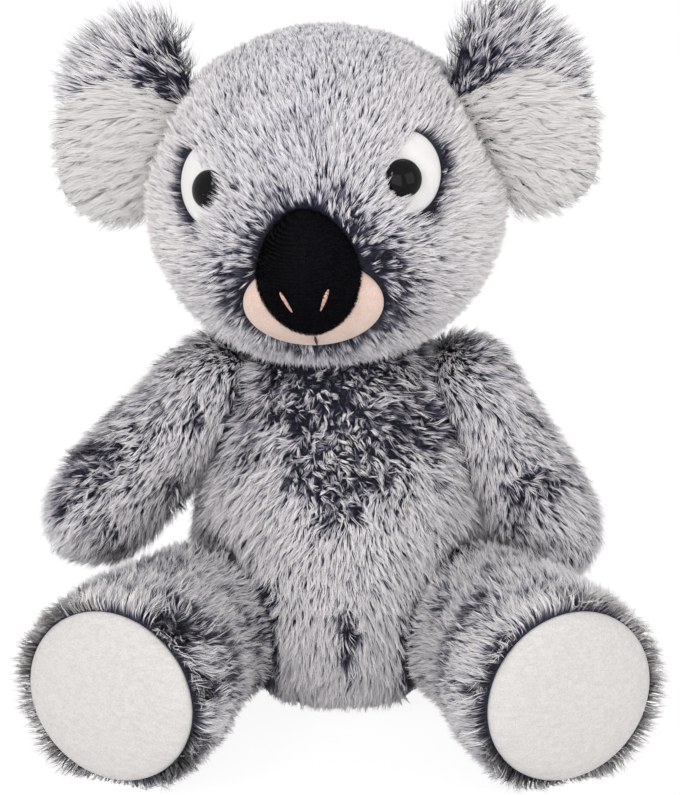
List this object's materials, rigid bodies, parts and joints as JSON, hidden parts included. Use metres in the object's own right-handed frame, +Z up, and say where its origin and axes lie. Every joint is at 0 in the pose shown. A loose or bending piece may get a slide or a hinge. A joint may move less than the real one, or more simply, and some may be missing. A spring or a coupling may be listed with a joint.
{
  "type": "plush koala",
  "caption": "Seated plush koala with stuffed head, torso, arms and legs, flat lined ears, felt eyes, padded nose and velour soles.",
  "frame": {"origin": "middle of the flat seat under the torso, on the surface that the toy sits on", "axes": "+Z up, the koala faces -Y, and its own left side is at +X"},
  "size_m": [0.1974, 0.1619, 0.2317],
  "materials": {
    "grey_plush": "long two-tone pile, dark navy roots and pale grey tips",
    "white_plush": "long white pile, combed outwards",
    "white_velour": "short brushed pile",
    "white_felt": "smooth pressed felt",
    "black_eye": "polished dome",
    "washer_plastic": "plain moulded",
    "black_nose_cloth": "very short pile with fine creases",
    "pink_velour": "short brushed pile",
    "pink_thread": "satin stitches",
    "dark_thread": "satin stitches",
    "fibre_fill": "loose polyester fibre",
    "pouch_cloth": "plain woven bag of pellets"
  },
  "bodies": {
    "torso": {"torso_skin": "grey_plush", "torso_stuffing": "fibre_fill", "pellet_pouch": "pouch_cloth"},
    "neck": {"neck_stuffing": "fibre_fill"},
    "head": {"head_skin": "grey_plush", "head_stuffing": "fibre_fill", "eye_left_white": "white_felt", "eye_left_pupil": "black_eye", "eye_left_washer": "washer_plastic", "eye_right_white": "white_felt", "eye_right_pupil": "black_eye", "eye_right_washer": "washer_plastic", "nose_cover": "black_nose_cloth", "nose_stuffing": "fibre_fill", "lip": "pink_velour", "nostril_left_stitch": "pink_thread", "nostril_right_stitch": "pink_thread", "mouth_stitch": "dark_thread"},
    "ear_left": {"ear_left_back": "grey_plush", "ear_left_lining": "white_plush"},
    "ear_right": {"ear_right_back": "grey_plush", "ear_right_lining": "white_plush"},
    "arm_left": {"arm_left_skin": "grey_plush", "arm_left_stuffing": "fibre_fill"},
    "arm_right": {"arm_right_skin": "grey_plush", "arm_right_stuffing": "fibre_fill"},
    "leg_left": {"leg_left_skin": "grey_plush", "leg_left_stuffing": "fibre_fill", "leg_left_sole": "white_velour"},
    "leg_right": {"leg_right_skin": "grey_plush", "leg_right_stuffing": "fibre_fill", "leg_right_sole": "white_velour"}
  },
  "joints": [
    {"name": "neck_turn", "type": "hinge", "parent": "torso", "child": "neck", "pos_m": [-0.0045, 0, 0.1715], "axis": [0, 0, 1], "range_deg": [-28, 28], "stiffness_Nm_per_rad": 0.3},
    {"name": "head_nod", "type": "hinge", "parent": "neck", "child": "head", "pos_m": [-0.0045, 0, 0.1715], "axis": [1, 0, 0], "range_deg": [-10, 10], "stiffness_Nm_per_rad": 0.5},
    {"name": "ear_left_flex", "type": "hinge", "parent": "head", "child": "ear_left", "pos_m": [0.04872, -0.00597, 0.19043], "axis": [-0.4833, 0.0542, 0.8738], "range_deg": [-20, 20], "stiffness_Nm_per_rad": 0.03},
    {"name": "ear_right_flex", "type": "hinge", "parent": "head", "child": "ear_right", "pos_m": [-0.05932, 0.00615, 0.18502], "axis": [0.3947, -0.0443, 0.9178], "range_deg": [-20, 20], "stiffness_Nm_per_rad": 0.03},
    {"name": "arm_left_raise", "type": "hinge", "parent": "torso", "child": "arm_left", "pos_m": [0.042, -0.003, 0.107], "axis": [-0.0224, -0.999, 0.0397], "range_deg": [-6, 50], "stiffness_Nm_per_rad": 0.12},
    {"name": "arm_right_raise", "type": "hinge", "parent": "torso", "child": "arm_right", "pos_m": [-0.042, -0.003, 0.107], "axis": [-0.0872, 0.9918, -0.0935], "range_deg": [-6, 50], "stiffness_Nm_per_rad": 0.12},
    {"name": "leg_left_lift", "type": "hinge", "parent": "torso", "child": "leg_left", "pos_m": [0.035, -0.017, 0.0296], "axis": [-0.8988, -0.4384, 0], "range_deg": [0, 24], "stiffness_Nm_per_rad": 0.15},
    {"name": "leg_right_lift", "type": "hinge", "parent": "torso", "child": "leg_right", "pos_m": [-0.035, -0.017, 0.0296], "axis": [-0.8988, 0.4384, 0], "range_deg": [0, 24], "stiffness_Nm_per_rad": 0.15}
  ]
}
